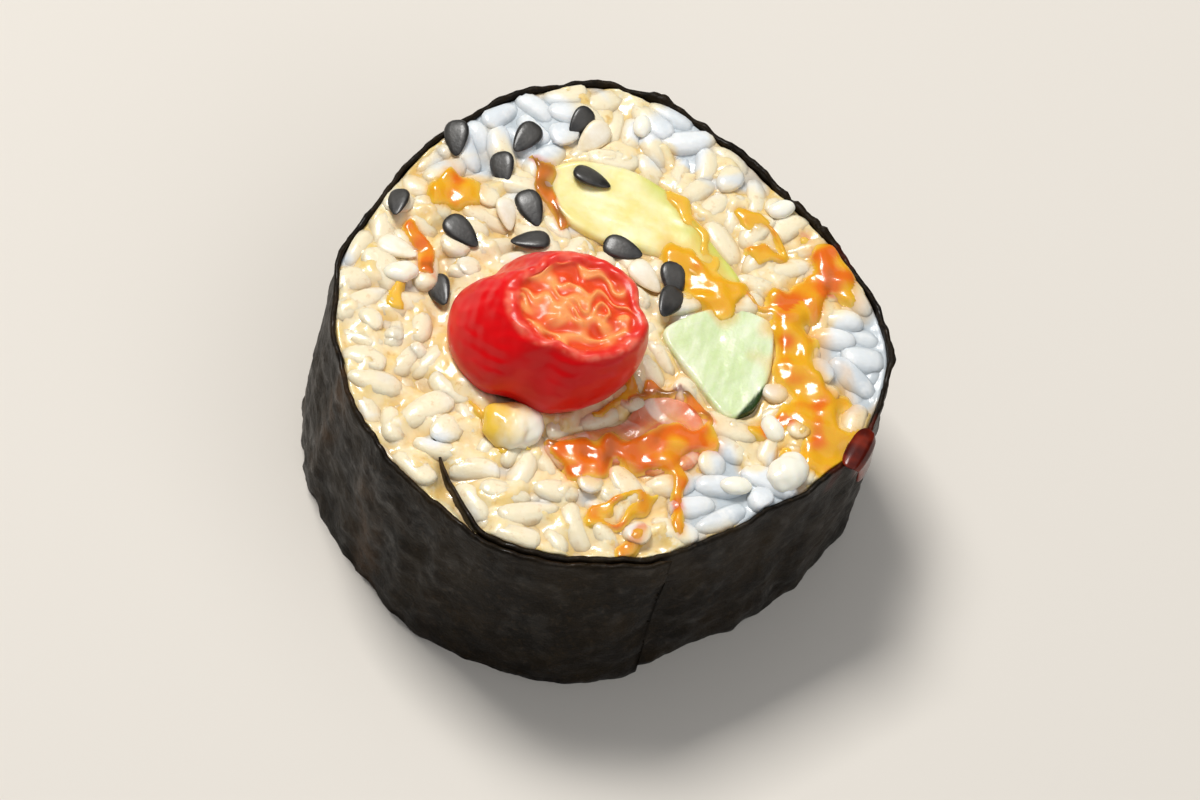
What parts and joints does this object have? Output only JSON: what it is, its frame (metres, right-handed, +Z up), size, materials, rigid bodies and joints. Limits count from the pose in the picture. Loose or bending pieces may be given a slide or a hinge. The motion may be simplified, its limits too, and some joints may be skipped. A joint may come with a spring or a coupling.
{
  "type": "spicy salmon roll slice",
  "caption": "Thick rolled sushi slice lying on its cut face: seaweed round rice, salmon, cucumber and avocado, topped with a red chili piece, sesame and sauce.",
  "frame": {"origin": "middle of the box of the lower cut face, on the surface that the slice lies on", "axes": "+Z up through the slice, square to its cut faces; +Y away from the viewer of the picture; +X to the viewer's right"},
  "size_m": [0.0512, 0.0518, 0.0283],
  "materials": {
    "nori": "satin",
    "rice": "moist",
    "cucumber": "moist",
    "avocado": "moist",
    "salmon": "glossy",
    "chili": "glossy",
    "sauce": "glossy",
    "dark_sesame": "satin",
    "pale_sesame": "satin"
  },
  "bodies": {
    "root": {"nori": "nori", "rice": "rice", "cucumber": "cucumber", "avocado": "avocado", "salmon": "salmon", "chili": "chili"}
  },
  "joints": []
}
